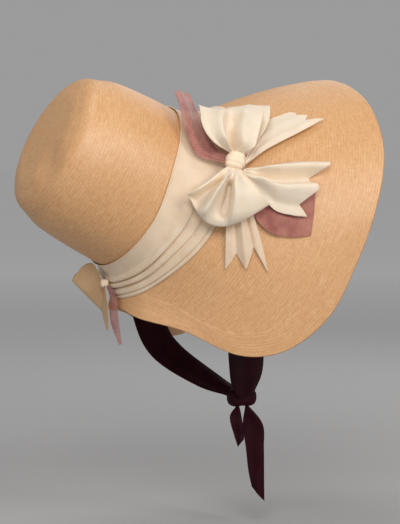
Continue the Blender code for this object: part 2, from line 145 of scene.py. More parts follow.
def addCamera():
    target = toRight * -view["originRight"] - toTop * view["originUp"]
    bpy.ops.object.camera_add(location=target + toCamera * view["distance"])
    camera = bpy.context.active_object
    camera.rotation_euler = toCamera.to_track_quat("Z", "Y").to_euler()
    camera.data.sensor_fit = "VERTICAL"
    camera.data.sensor_height = 36
    camera.data.lens = view["lens"]
    bpy.context.scene.camera = camera


def addLights():
    for name, right, up, near, size, power, colour in lights:
        place = toRight * right + toTop * up + toCamera * near
        bpy.ops.object.light_add(type="AREA", location=place)
        light = bpy.context.active_object
        light.name = name + "Light"
        light.rotation_euler = place.to_track_quat("Z", "Y").to_euler()
        light.data.size = size
        light.data.energy = power
        light.data.color = colour


def addFloor():
    bpy.ops.mesh.primitive_circle_add(vertices=96, radius=floorLook["radius"], fill_type="NGON",
                                      location=(0, 0, cadBox[0].z - floorLook["gapBelow"]))
    floor = bpy.context.active_object
    floor.name = "floor"
    material, tree, shader = startMaterial("paleFloor")
    place = addNode(tree, "TexCoord").outputs["Object"]
    away = addNode(tree, "VectorMath", place, operation="LENGTH").outputs["Value"]
    # painted shade and light: the floor's colour darkens towards the bonnet and pales with distance
    share = spread(tree, away, floorLook["nearTo"], floorLook["farFrom"])
    colour = mixColour(tree, share, floorLook["near"], floorLook["far"])
    tree.links.new(colour, shader.inputs["Base Color"])
    shader.inputs["Roughness"].default_value = floorLook["roughness"]
    floor.data.materials.append(material)
    world = bpy.data.worlds.new("studioAir")
    world.use_nodes = True
    world.node_tree.nodes["Background"].inputs["Color"].default_value = (*floorLook["air"], 1)
    bpy.context.scene.world = world


bpy.ops.object.select_all(action="DESELECT")
addCamera()
addLights()
addFloor()
bpy.context.scene.view_settings.view_transform = "Standard"
print("stage set")

# Surfaces of the straw, in turns round the crown (0 nape, 90 wearer's right, 180 top) and in
# reach from the ring (positive along the brim, negative up the crown)

strawForm = {
    "crownRadius": 0.095,
    "crownHeight": 0.146,
    "crownLean": 26.7,         # degrees that the crown's axis rises towards the back
    "dentDepth": 0.004,
    "dentRadius": 0.030,
    "dentOut": 0.052,
    "dentTurn": 125,
    "brimReach": 0.2188,
    "brimHalfWidth": 0.153,
    "brimDrop": 0.168,
    "napeLift": 0.009,
    "wall": 0.0018,
    "gap": 0.0004,
}

# height and radius, as shares of the crown's
crownProfile = [
    (0.000, 1.000), (0.187, 0.984), (0.448, 0.968), (0.697, 0.930), (0.827, 0.862),
    (0.900, 0.818), (0.940, 0.750), (0.962, 0.672), (0.985, 0.552), (0.989, 0.371), (0.990, 0.000)]

# turn, edge to the side, ahead and up, flare in degrees at the ring, fullness
brimEdge = [
    (0, 0.000, -0.210, -0.714, 62, 0.40),
    (20, 0.301, -0.174, -0.774, 50, 0.45),
    (35, 0.523, -0.002, -0.848, 38, 0.45),
    (50, 0.706, 0.235, -1.000, 30, 0.50),
    (62, 0.824, 0.444, -0.972, 29, 0.50),
    (76, 0.928, 0.641, -0.762, 30, 0.50),
    (92, 0.987, 0.767, -0.440, 32, 0.50),
    (112, 1.000, 0.875, -0.085, 38, 0.50),
    (132, 0.889, 0.968, 0.276, 43, 0.50),
    (150, 0.641, 1.000, 0.562, 47, 0.50),
    (165, 0.353, 0.990, 0.718, 50, 0.50),
    (180, 0.000, 0.973, 0.778, 52, 0.50)]
brimTable = [(-row[0], -row[1], *row[2:]) for row in brimEdge[2:0:-1]] + brimEdge
brimTable += [(360 - row[0], -row[1], *row[2:]) for row in brimEdge[-2:-4:-1]]

lean = math.radians(strawForm["crownLean"])
crownAxis = Vector((0, math.cos(lean), math.sin(lean)))
rise = Vector((0, -math.sin(lean), math.cos(lean)))
wearerRight = Vector((-1, 0, 0))


def outward(turn):
    angle = math.radians(turn)
    return wearerRight * math.sin(angle) - rise * math.cos(angle)


def readSmooth(rows, place, column):
    # one column of a table, read along a smooth curve at a place in its first column
    last = len(rows) - 2
    i = 0
    while i < last and rows[i + 1][0] < place:
        i += 1
    x0, x1 = rows[i][0], rows[i + 1][0]
    y0, y1 = rows[i][column], rows[i + 1][column]
    step = x1 - x0
    slope0 = slope1 = (y1 - y0) / step
    if i > 0:
        slope0 = (y1 - rows[i - 1][column]) / (x1 - rows[i - 1][0])
    if i + 2 < len(rows):
        slope1 = (rows[i + 2][column] - y0) / (rows[i + 2][0] - x0)
    t = (place - x0) / step
    return ((1 + 2 * t) * (1 - t) ** 2 * y0 + t * (1 - t) ** 2 * step * slope0
            + t * t * (3 - 2 * t) * y1 + t * t * (t - 1) * step * slope1)


def ease(value):
    value = min(max(value, 0.0), 1.0)
    return value * value * (3 - 2 * value)


def turnFromNape(turn):
    return abs((turn + 180) % 360 - 180)


ribSamples = 60


@lru_cache(maxsize=None)
def rib(turn):
    # the brim's curve at one whole turn: points from the ring to the edge, and the length up to each
    half = turnFromNape(turn)
    onRight = turn % 360 <= 180
    edge = Vector((-readSmooth(brimTable, half, 1) * strawForm["brimHalfWidth"],
                   -readSmooth(brimTable, half, 2) * strawForm["brimReach"],
                   readSmooth(brimTable, half, 3) * strawForm["brimDrop"]))
    flare = math.radians(readSmooth(brimTable, half, 4))
    start = outward(half) * strawForm["crownRadius"]
    heading = outward(half) * math.sin(flare) - crownAxis * math.cos(flare)
    middle = start + heading * (edge - start).length * readSmooth(brimTable, half, 5)
    if not onRight:
        edge.z += strawForm["napeLift"] * ease(1 - abs(half - 38) / 34)
    points = []
    for k in range(ribSamples + 1):
        t = k / ribSamples
        point = start * (1 - t) ** 2 + middle * 2 * t * (1 - t) + edge * t * t
        if not onRight:
            point.x = -point.x
        points.append(point)
    lengths = [0.0]
    for a, b in zip(points, points[1:]):
        lengths.append(lengths[-1] + (b - a).length)
    return points, lengths


def ribPoint(turn, reach):
    points, lengths = rib(turn % 360)
    k = min(max(bisect_left(lengths, reach), 1), ribSamples)
    return points[k - 1].lerp(points[k], (reach - lengths[k - 1]) / (lengths[k] - lengths[k - 1]))


def brimAt(turn, reach):
    low = math.floor(turn)
    return ribPoint(low, reach).lerp(ribPoint(low + 1, reach), turn - low)


def ribLength(turn):
    low = math.floor(turn)
    a, b = rib(low % 360)[1][-1], rib((low + 1) % 360)[1][-1]
    return a + (b - a) * (turn - low)


def crownAt(turn, height):
    radius = readSmooth(crownProfile, height / strawForm["crownHeight"], 1)
    return crownAxis * height + outward(turn) * radius * strawForm["crownRadius"]


# Shared making

def applyAll(piece):
    bpy.ops.object.select_all(action="DESELECT")
    piece.select_set(True)
    bpy.context.view_layer.objects.active = piece
    for modifier in list(piece.modifiers):
        bpy.ops.object.modifier_apply(modifier=modifier.name)


def addWall(piece, thickness, offset, levels=0):
    wall = piece.modifiers.new("wall", "SOLIDIFY")
    wall.thickness = thickness
    wall.offset = offset
    wall.use_even_offset = False
    if levels:
        soft = piece.modifiers.new("soft", "SUBSURF")
        soft.levels = soft.render_levels = levels
    applyAll(piece)
    bpy.ops.object.shade_smooth()


def faceOut(piece, centre):
    # turns an open shell's faces away from a centre
    total = sum((f.center - centre).dot(f.normal) * f.area for f in piece.data.polygons)
    if total < 0:
        bpy.ops.object.mode_set(mode="EDIT")
        bpy.ops.mesh.select_all(action="SELECT")
        bpy.ops.mesh.flip_normals()
        bpy.ops.object.mode_set(mode="OBJECT")


def mergeDoubles(piece, distance=0.00002):
    bpy.ops.object.mode_set(mode="EDIT")
    bpy.ops.mesh.select_all(action="SELECT")
    bpy.ops.mesh.remove_doubles(threshold=distance)
    bpy.ops.mesh.normals_make_consistent(inside=False)
    bpy.ops.object.mode_set(mode="OBJECT")


def addGrid(name, across, along, place, uvOf=None, uvName="cloth"):
    # a grid primitive whose corner (i, j) is moved to place(i, j); uvOf(i, j, face's j) maps it
    bpy.ops.object.select_all(action="DESELECT")
    bpy.ops.mesh.primitive_grid_add(x_subdivisions=across, y_subdivisions=along, size=1)
    piece = bpy.context.active_object
    piece.name = piece.data.name = name
    mesh = piece.data
    corners = [(round((v.co.x + 0.5) * across), round((v.co.y + 0.5) * along)) for v in mesh.vertices]
    for v, (i, j) in zip(mesh.vertices, corners):
        v.co = place(i, j)
    mesh.uv_layers[0].name = uvName
    if uvOf:
        uvs = mesh.uv_layers[0].data
        for face in mesh.polygons:
            low = min(corners[v][1] for v in face.vertices)
            for loop in face.loop_indices:
                i, j = corners[mesh.loops[loop].vertex_index]
                uvs[loop].uv = uvOf(i, j, low)
    mesh.update()
    return piece


def dress(piece, material, slot, *nodes):
    piece.data.materials.clear()
    piece.data.materials.append(material)
    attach(piece, "root")
    if nodes:
        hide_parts(*nodes)


# Materials

def addBump(tree, shader, height, distance, strength, before=None):
    bump = tree.nodes.new("ShaderNodeBump")
    bump.inputs["Strength"].default_value = strength
    bump.inputs["Distance"].default_value = distance
    tree.links.new(height, bump.inputs["Height"])
    if before:
        tree.links.new(before.outputs[0], bump.inputs["Normal"])
    tree.links.new(bump.outputs[0], shader.inputs["Normal"])
    return bump


strawLook = {
    "pale": (0.760, 0.460, 0.225),
    "deep": (0.560, 0.270, 0.100),
    "strands": 2.6,            # plaited strands in one row's width
    "slant": 2.2,
    "streak": 0.14,            # the smaller, the longer the streaks along a row
    "rowShade": 0.30,          # painted shade between rows and between strands
    "strandShade": 0.08,
    "roughness": 0.46,
    "gloss": 0.8,
}


def strawMaterial():
    material, tree, shader = startMaterial("plaitedStraw")
    braid = addNode(tree, "UVMap", uv_map="braid").outputs[0]
    around, rows, _ = addNode(tree, "SeparateXYZ", braid).outputs
    inRow = sums(tree, "FRACT", rows)
    fromMiddle = sums(tree, "ABSOLUTE", sums(tree, "SUBTRACT", inRow, 0.5))
    # strands slant both ways from each row's middle, as in a plait
    slant = sums(tree, "MULTIPLY", fromMiddle, strawLook["slant"])
    strand = sums(tree, "ADD", sums(tree, "MULTIPLY", around, strawLook["strands"]), slant)
    number = addNode(tree, "CombineXYZ", sums(tree, "FLOOR", strand), sums(tree, "FLOOR", rows), 0.0)
    chance = addNode(tree, "TexWhiteNoise", number.outputs[0], noise_dimensions="2D").outputs[0]
    roundTop = sums(tree, "SINE", sums(tree, "MULTIPLY", sums(tree, "FRACT", strand), math.pi))
    # long faint streaks along the rows, and wide soft patches
    stretched = addNode(tree, "CombineXYZ", sums(tree, "MULTIPLY", around, strawLook["streak"]),
                        rows, 0.0).outputs[0]
    streak = noise(tree, stretched, 1.9, 2.0)
    place = addNode(tree, "TexCoord").outputs["Object"]
    patch = noise(tree, place, 16.0, 3.0)
    speckle = noise(tree, place, 420.0, 2.0)
    shade = sums(tree, "ADD", sums(tree, "MULTIPLY", chance, 0.22), sums(tree, "MULTIPLY", streak, 0.95))
    shade = sums(tree, "ADD", shade, sums(tree, "MULTIPLY", patch, 0.22))
    shade = sums(tree, "ADD", shade, sums(tree, "MULTIPLY", speckle, 0.60))
    colour = mixColour(tree, spread(tree, shade, 0.60, 1.45), strawLook["deep"], strawLook["pale"])
    # painted shade: the stitched valley between rows, and the gaps between strands, are painted darker,
    # as shade falls there
    valley = spread(tree, fromMiddle, 0.34, 0.50, 0.0, strawLook["rowShade"])
    gap = spread(tree, roundTop, 0.0, 0.5, strawLook["strandShade"], 0.0)
    strawPaintedShade = sums(tree, "MAXIMUM", valley, gap)
    # the painted shade's colour is the deep straw colour, darkened
    colour = mixColour(tree, strawPaintedShade, colour, tuple(0.62 * c for c in strawLook["deep"]))
    tree.links.new(colour, shader.inputs["Base Color"])
    shader.inputs["Roughness"].default_value = strawLook["roughness"]
    shader.inputs["Specular IOR Level"].default_value = strawLook["gloss"]
    addBump(tree, shader, roundTop, 0.0003, 0.20)
    return material


clothLook = {
    # paler colour, deeper colour mixed in at random, weave pitch, roughness, gloss, sheen, light through
    # it
    "creamSilk": ((0.880, 0.730, 0.560), (0.820, 0.650, 0.470), 0.0006, 0.55, 0.25, 0.20, 0.20),
    # the band's satin and the nape bow's satin are darker, warmer copies of the cream silk: painted
    # shade, with the straw's warm bounce light painted into the band's
    "paintedShadeSatin": ((0.850, 0.660, 0.480), (0.770, 0.560, 0.380), 0.0006, 0.50, 0.25, 0.15, 0.15),
    "napePaintedShadeSatin": ((0.600, 0.390, 0.220), (0.520, 0.320, 0.170), 0.0006, 0.50, 0.25, 0.10, 0.10),
    "plumRibbon": ((0.026, 0.0022, 0.0060), (0.014, 0.0012, 0.0035), 0.0008, 0.60, 0.10, 0.0, 0.0),
}


def clothMaterial(name):
    paleTone, low, pitch, roughness, gloss, sheen, glow = clothLook[name]
    material, tree, shader = startMaterial(name)
    cloth = addNode(tree, "UVMap", uv_map="cloth").outputs[0]
    place = addNode(tree, "TexCoord").outputs["Object"]
    across, along, _ = addNode(tree, "SeparateXYZ", cloth).outputs
    ribs = sums(tree, "SINE", sums(tree, "MULTIPLY", along, math.tau / pitch))
    threads = sums(tree, "SINE", sums(tree, "MULTIPLY", across, math.tau / pitch))
    weave = sums(tree, "ADD", sums(tree, "MULTIPLY", ribs, 0.7), sums(tree, "MULTIPLY", threads, 0.3))
    mottle = noise(tree, place, 55.0, 4.0)
    slub = noise(tree, addNode(tree, "CombineXYZ", sums(tree, "MULTIPLY", across, 60.0),
                               sums(tree, "MULTIPLY", along, 900.0), 0.0).outputs[0], 1.0, 2.0)
    share = sums(tree, "ADD", sums(tree, "MULTIPLY", mottle, 0.6), sums(tree, "MULTIPLY", slub, 0.4))
    colour = mixColour(tree, spread(tree, share, 0.32, 0.62), low, paleTone)
    tree.links.new(colour, shader.inputs["Base Color"])
    shader.inputs["Roughness"].default_value = roughness
    shader.inputs["Specular IOR Level"].default_value = gloss
    shader.inputs["Sheen Weight"].default_value = sheen
    shader.inputs["Sheen Roughness"].default_value = 0.4
    if glow:
        shader.inputs["Subsurface Weight"].default_value = glow
        shader.inputs["Subsurface Radius"].default_value = (0.012, 0.006, 0.002)
        shader.inputs["Subsurface Scale"].default_value = 1.0
    crush = addBump(tree, shader, noise(tree, place, 120.0, 3.0), 0.0012, 0.22)
    addBump(tree, shader, weave, pitch * 0.25, 0.30, crush)
    return material


gauzeLook = {
    "colour": (0.590, 0.260, 0.210),
    "fold": (0.420, 0.140, 0.125),
    "cover": 0.52,             # how much the threads hide
    "hem": 0.0016,
    "thread": 0.0009,
    "roughness": 0.7,
    "sheen": 0.4,
    "gloss": 0.2,
}


def gauzeMaterial():
    material, tree, shader = startMaterial("mauveGauze")
    cloth = addNode(tree, "UVMap", uv_map="cloth").outputs[0]
    place = addNode(tree, "TexCoord").outputs["Object"]
    across, along, _ = addNode(tree, "SeparateXYZ", cloth).outputs
    mottle = noise(tree, place, 60.0, 3.0)
    colour = mixColour(tree, spread(tree, mottle, 0.35, 0.65), gauzeLook["fold"], gauzeLook["colour"])
    tree.links.new(colour, shader.inputs["Base Color"])
    hem = spread(tree, across, 0.0, gauzeLook["hem"], 1.0, gauzeLook["cover"])
    tree.links.new(hem, shader.inputs["Alpha"])
    shader.inputs["Roughness"].default_value = gauzeLook["roughness"]
    shader.inputs["Sheen Weight"].default_value = gauzeLook["sheen"]
    shader.inputs["Specular IOR Level"].default_value = gauzeLook["gloss"]
    threads = sums(tree, "SINE", sums(tree, "MULTIPLY", along, math.tau / gauzeLook["thread"]))
    addBump(tree, shader, threads, 0.0002, 0.25)
    return material


plaitedStraw = strawMaterial()
creamSilk = clothMaterial("creamSilk")
paintedShadeSatin = clothMaterial("paintedShadeSatin")
napePaintedShadeSatin = clothMaterial("napePaintedShadeSatin")
plumRibbon = clothMaterial("plumRibbon")
mauveGauze = gauzeMaterial()
print("materials made")

# Crown and brim, in sewn rows of braid

braidRows = {
    "pitch": 0.0034,
    "height": 0.00030,         # from a row's valley to its ridge
    "crownSides": 180,
    "brimRibs": 240,
    "edgeRows": 9,             # rows that follow the brim's edge; the rest follow the ring
    "edgeRise": 0.0003,
    "wave": 0.0011,            # soft unevenness of the brim, and of the crown's side
}


def softWave(turn, reach):
    # a slow, uneven swell, still at the ring and at the brim's edge
    a, b = math.radians(turn), reach / 0.034
    swell = math.sin(5 * a + 1.1 * b) + 0.7 * math.sin(8 * a - 1.7 * b + 2)
    swell += 0.5 * math.sin(3 * a + 2.6 * b + 4)
    return braidRows["wave"] * swell / 2.2


def crownCurve():
    # the crown's profile as close points: height, radius and the distance up it
    table = [(k, h * strawForm["crownHeight"], r * strawForm["crownRadius"])
             for k, (h, r) in enumerate(crownProfile)]
    steps = 24
    points = []
    for k in range((len(table) - 1) * steps + 1):
        points.append((readSmooth(table, k / steps, 1), max(readSmooth(table, k / steps, 2), 0.0)))
    lengths = [0.0]
    for a, b in zip(points, points[1:]):
        lengths.append(lengths[-1] + math.dist(a, b))
    return points, lengths


def crownRings():
    # height and radius of each ring of vertices, two to a row of braid, with the rows' relief
    points, lengths = crownCurve()
    count = 2 * round(lengths[-1] / braidRows["pitch"])
    rings = []
    for k in range(count):
        far = lengths[-1] * k / count
        i = min(max(bisect_left(lengths, far), 1), len(points) - 1)
        share = (far - lengths[i - 1]) / max(lengths[i] - lengths[i - 1], 1e-9)
        (h0, r0), (h1, r1) = points[i - 1], points[i]
        step = max(math.dist(points[i - 1], points[i]), 1e-9)
        lift = braidRows["height"] * (0.5 if k % 2 else -0.5)
        rings.append((h0 + (h1 - h0) * share - (r1 - r0) / step * lift,
                      r0 + (r1 - r0) * share + (h1 - h0) / step * lift))
    return rings


def makeCrown():
    rings = crownRings()
    sides = braidRows["crownSides"]
    height, radius = rings[0]
    bpy.ops.object.select_all(action="DESELECT")
    bpy.ops.mesh.primitive_circle_add(vertices=sides, radius=radius, location=(0, 0, height),
                                      fill_type="NOTHING")
    crown = bpy.context.active_object
    crown.name = crown.data.name = "crownBraid"
    bpy.ops.object.transform_apply(location=True)
    bpy.ops.object.mode_set(mode="EDIT")
    bpy.ops.mesh.select_all(action="SELECT")
    for nextHeight, nextRadius in rings[1:]:
        bpy.ops.mesh.extrude_region_move(
            TRANSFORM_OT_translate={"value": (0, 0, nextHeight - height)})
        scale = nextRadius / radius
        bpy.ops.transform.resize(value=(scale, scale, 1), center_override=(0, 0, nextHeight))
        height, radius = nextHeight, nextRadius
    bpy.ops.mesh.extrude_region_move()
    bpy.ops.mesh.merge(type="CENTER")
    bpy.ops.object.mode_set(mode="OBJECT")
    mapCrown(crown, rings, sides)
    pressTip(crown)
    crown.rotation_euler.x = lean - math.pi / 2
    bpy.ops.object.transform_apply(rotation=True)
    faceOut(crown, crownAxis * strawForm["crownHeight"] / 2)
    addWall(crown, strawForm["wall"], -1)
    dress(crown, plaitedStraw, "straw", "crown")


def mapCrown(crown, rings, sides):
    # u runs round each row in row widths, v counts rows; the join is at the nape
    mesh = crown.data
    uvs = mesh.uv_layers.new(name="braid").data
    for face in mesh.polygons:
        low = min(min(v // sides for v in face.vertices), len(rings) - 1)
        row = low // 2
        radius = rings[min(2 * row + 1, len(rings) - 1)][1]
        angles = []
        for v in face.vertices:
            co = mesh.vertices[v].co
            angles.append(math.atan2(co.x, co.y) if co.xy.length > 1e-6 else None)
        known = [a for a in angles if a is not None]
        for loop, v, angle in zip(face.loop_indices, face.vertices, angles):
            angle = sum(known) / len(known) if angle is None else angle
            if max(known) - min(known) > math.pi and angle < 0:
                angle += math.tau
            uvs[loop].uv = (angle * radius / braidRows["pitch"], (v // sides) / 2)


def pressTip(crown):
    # a soft dent towards the tip's upper right
    turn = math.radians(strawForm["dentTurn"])
    dent = Vector((-math.sin(turn), -math.cos(turn))) * strawForm["dentOut"]
    for v in crown.data.vertices:
        up = v.co.z / strawForm["crownHeight"]
        near = 1 - (v.co.xy - dent).length / strawForm["dentRadius"]
        v.co.z -= strawForm["dentDepth"] * ease(near) * ease((up - 0.9) / 0.05)


def makeBrim():
    pitch, ribs = braidRows["pitch"], braidRows["brimRibs"]
    edgeSteps = 2 * braidRows["edgeRows"]
    edgeZone = braidRows["edgeRows"] * pitch
    longest = max(ribLength(turn) for turn in range(360))
    innerSteps = math.ceil((longest - edgeZone) / (pitch / 2))

    def reachOf(i, j):
        # rows follow the ring until they run out under the rows that follow the edge
        turn = 360 * i / ribs
        length = ribLength(turn)
        zone = min(edgeZone, length - strawForm["gap"])
        if j > innerSteps:
            return turn, length - zone * (1 - (j - innerSteps) / edgeSteps), False
        reach = strawForm["gap"] + j * pitch / 2
        return turn, min(reach, length - zone), reach >= length - zone

    def place(i, j):
        turn, reach, cut = reachOf(i, j)
        lift = braidRows["height"] * (0.5 if j % 2 else -0.5)
        if j > innerSteps:
            lift += braidRows["edgeRise"]
        elif cut:
            lift = 0.0
        still = ease(reach / 0.05) * ease((ribLength(turn) - reach) / 0.02)
        lift += softWave(turn, reach) * still
        return lifted(turn, reach, lift, brimAt)

    def uvOf(i, j, low):
        turn, reach, _ = reachOf(i, j)
        row = low // 2
        _, middle, _ = reachOf(i, min(2 * row + 1, innerSteps + edgeSteps))
        around = arcFromTop(turn, middle)
        return around / pitch, j / 2 if low < innerSteps else j / 2 + 0.5 * (innerSteps % 2)

    brim = addGrid("brimBraid", ribs, innerSteps + edgeSteps, place, uvOf, "braid")
    mergeDoubles(brim)
    faceOut(brim, crownAxis * -0.1)
    addWall(brim, strawForm["wall"], -1)
    dress(brim, plaitedStraw, "straw", "brim")


@lru_cache(maxsize=None)
def arcTable(reachStep):
    # distance round the brim from the top, at every 3 degrees, for one distance from the ring
    distances = [0.0]
    for turn in range(180, 0, -3):
        a = brimAt(turn, min(reachStep / 1000, ribLength(turn)))
        b = brimAt(turn - 3, min(reachStep / 1000, ribLength(turn - 3)))
        distances.append(distances[-1] + (b - a).length)
    return distances


def arcFromTop(turn, reach):
    table = arcTable(round(reach * 1000))
    steps = (180 - turnFromNape(turn)) / 3
    k = min(int(steps), len(table) - 2)
    far = table[k] + (table[k + 1] - table[k]) * (steps - k)
    return far if turn <= 180 else -far


# The band

bandForm = {
    "above": 0.025,            # up the crown, and how much more on its sides and top
    "sideRise": 0.008,
    "below": 0.036,            # down the brim at the sides
    "atNape": 0.025,
    "cloth": 0.0008,           # thickness
    "pleatHeight": 0.0046,
    "pleatsFrom": 0.38,        # share of the width where the pleats begin
    "steps": (320, 100),
}


def bandEdge(turn):
    return bandForm["atNape"] + (bandForm["below"] - bandForm["atNape"]) * ease(
        (turnFromNape(turn) - 30) / 50)


def bandTop(turn):
    return bandForm["above"] + bandForm["sideRise"] * ease((turnFromNape(turn) - 60) / 50)


def carrier(turn, reach):
    # the outside of straw and band together, rounded where the band bridges the ring
    low = bandEdge(turn)
    if reach >= low:
        return brimAt(turn, reach)
    if reach <= -bandForm["above"]:
        return crownAt(turn, -reach)
    t = (reach + bandForm["above"]) / (low + bandForm["above"])
    corner = outward(turn) * (strawForm["crownRadius"] + 2 * strawForm["gap"])
    return (crownAt(turn, bandForm["above"]) * (1 - t) ** 2 + corner * 2 * t * (1 - t)
            + brimAt(turn, low) * t * t)


def lifted(turn, reach, lift, surface=None):
    # a point off a surface, square to it
    surface = surface or carrier
    small = 0.0008
    along = surface(turn, reach + small) - surface(turn, reach - small)
    around = surface(turn + 1, reach) - surface(turn - 1, reach)
    normal = around.cross(along).normalized()
    if normal.dot(outward(turn)) < 0:
        normal = -normal
    return surface(turn, reach) + normal * lift


def bandPleats(share, turn):
    # soft tucks, each with a rounded back and a sharp lower lip, lying over the next
    low = (share - bandForm["pleatsFrom"]) / (1 - bandForm["pleatsFrom"])
    if low <= 0:
        return 0.0
    side = turnFromNape(turn)
    strength = 1 - ease((side - 62) / 42)
    wander = 0.10 * math.sin(math.radians(side * 3.1 + 20))
    wander += 0.05 * math.sin(math.radians(side * 7 + turn))
    place = (low + wander * low * (1 - low) * 2) * 3.4
    inPleat = place % 1
    tuck = ease(inPleat / 0.60) * ease((1 - inPleat) / 0.14)
    shape = 0.75 + 0.25 * math.sin(1.7 * math.floor(place) + math.radians(side * 2))
    lip = ease((1 - low) / 0.06)
    return bandForm["pleatHeight"] * strength * tuck * shape * lip


def makeBand():
    around, down = bandForm["steps"]

    def place(i, j):
        turn, share = 360 * i / around, j / down
        reach = -bandTop(turn) + (bandEdge(turn) + bandTop(turn)) * share
        gap = strawForm["gap"]
        soft = 0.0005 * math.sin(math.radians(turn * 9)) * math.sin(math.pi * share) ** 2
        selvedge = 0.0008 * math.exp(-(share / 0.025) ** 2)
        lift = 1.5 * gap + 3 * gap * math.sin(math.pi * share) + selvedge + soft
        return lifted(turn, reach, lift + bandPleats(share, turn))

    def uvOf(i, j, low):
        return j / down * 0.061, i / around * 0.65

    band = addGrid("bandSilk", around, down, place, uvOf)
    mergeDoubles(band)
    faceOut(band, Vector((0, 0, 0)))
    addWall(band, bandForm["cloth"], 1)
    # painted shade: the band wears the darker, warmer satin, standing in for its lower light and the
    # straw's warm bounce
    dress(band, paintedShadeSatin, "silk", "band")


makeCrown()
print("crown braided")
makeBrim()
print("brim braided")
makeBand()
print("band pleated")

# Ribbons. Each is a strip between two edges, given by rows from its knot outwards, in shares of
# the ribbon's width: left edge, right edge, then the swell of its middle.
# Folds: across at their start and end, start and end along, width, height.

ribbonCloth = 0.0006


def section(rows, place):
    numbered = [(k / (len(rows) - 1), *row) for k, row in enumerate(rows)]
    return [readSmooth(numbered, place, column) for column in range(1, len(rows[0]) + 1)]


def foldLift(folds, across, long):
    lift = 0.0
    for start, end, begin, stop, width, height in folds:
        if not begin <= long <= stop:
            continue
        t = (long - begin) / (stop - begin)
        fade = ease(t / 0.25) * ease((1 - t) / 0.2) if stop < 1 else ease(t / 0.25)
        off = across - start - (end - start) * t
        off /= (width if isinstance(width, float) else width[off > 0])
        lift += height * fade * math.exp(-off * off)
    return lift


def cutBack(cut, across):
    # how far a cut end goes back at one place across, from its corners
    for (a, deepA), (b, deepB) in zip(cut, cut[1:]):
        if across <= b:
            return deepA + (deepB - deepA) * (across - a) / (b - a)
    return cut[-1][1]


def makeRibbon(name, form, chart, width, material, slot):
    across, along = form.get("steps", (36, 72))
    rows, folds = form["rows"], form.get("folds", ())
    gathers, gatherHeight = form.get("gathers", (4, 0.02))
    sections = [section(rows, j / along) for j in range(along + 1)]
    cut = form.get("cut")

    def place(i, j):
        u, long = i / across, j / along
        if cut:
            long *= 1 - cutBack(cut, u)
            a0, b0, c0, a1, b1, c1, swell = section(rows, long)
        else:
            a0, b0, c0, a1, b1, c1, swell = sections[j]
        end = min(long, 1 - long) if form.get("loop") else long
        crimp = gatherHeight * (1 - ease(end / 0.32)) * math.sin(math.tau * gathers * u + 1.0)
        crimp *= ease(end / 0.06)
        swell *= (4 * u * (1 - u)) ** 1.4
        return chart(a0 + (a1 - a0) * u, b0 + (b1 - b0) * u + swell,
                     c0 + (c1 - c0) * u + foldLift(folds, u, long) + crimp)

    def uvOf(i, j, low):
        return i / across * width, j / along * form["length"]

    piece = addGrid(name, across, along, place, uvOf)
    addWall(piece, ribbonCloth, 0)
    dress(piece, material, slot, *form["nodes"])
    # the strip narrows at its knot, where a real ribbon keeps its full width in the gathers
    return piece


bow = {
    "ribbon": 0.076,
    "turn": 115.5,
    "reach": 0.035,
    "knotLift": 0.015,
    "knot": (0.0110, 0.0100, 0.0080),   # along, up and lift
}
bowRing = carrier(bow["turn"], bow["reach"])
bowRadius = (bowRing - crownAxis * bowRing.dot(crownAxis)).length


def onBow(along, up, lift):
    turn = bow["turn"] + math.degrees(up * bow["ribbon"] / bowRadius)
    return lifted(turn, bow["reach"] + along * bow["ribbon"], lift * bow["ribbon"])


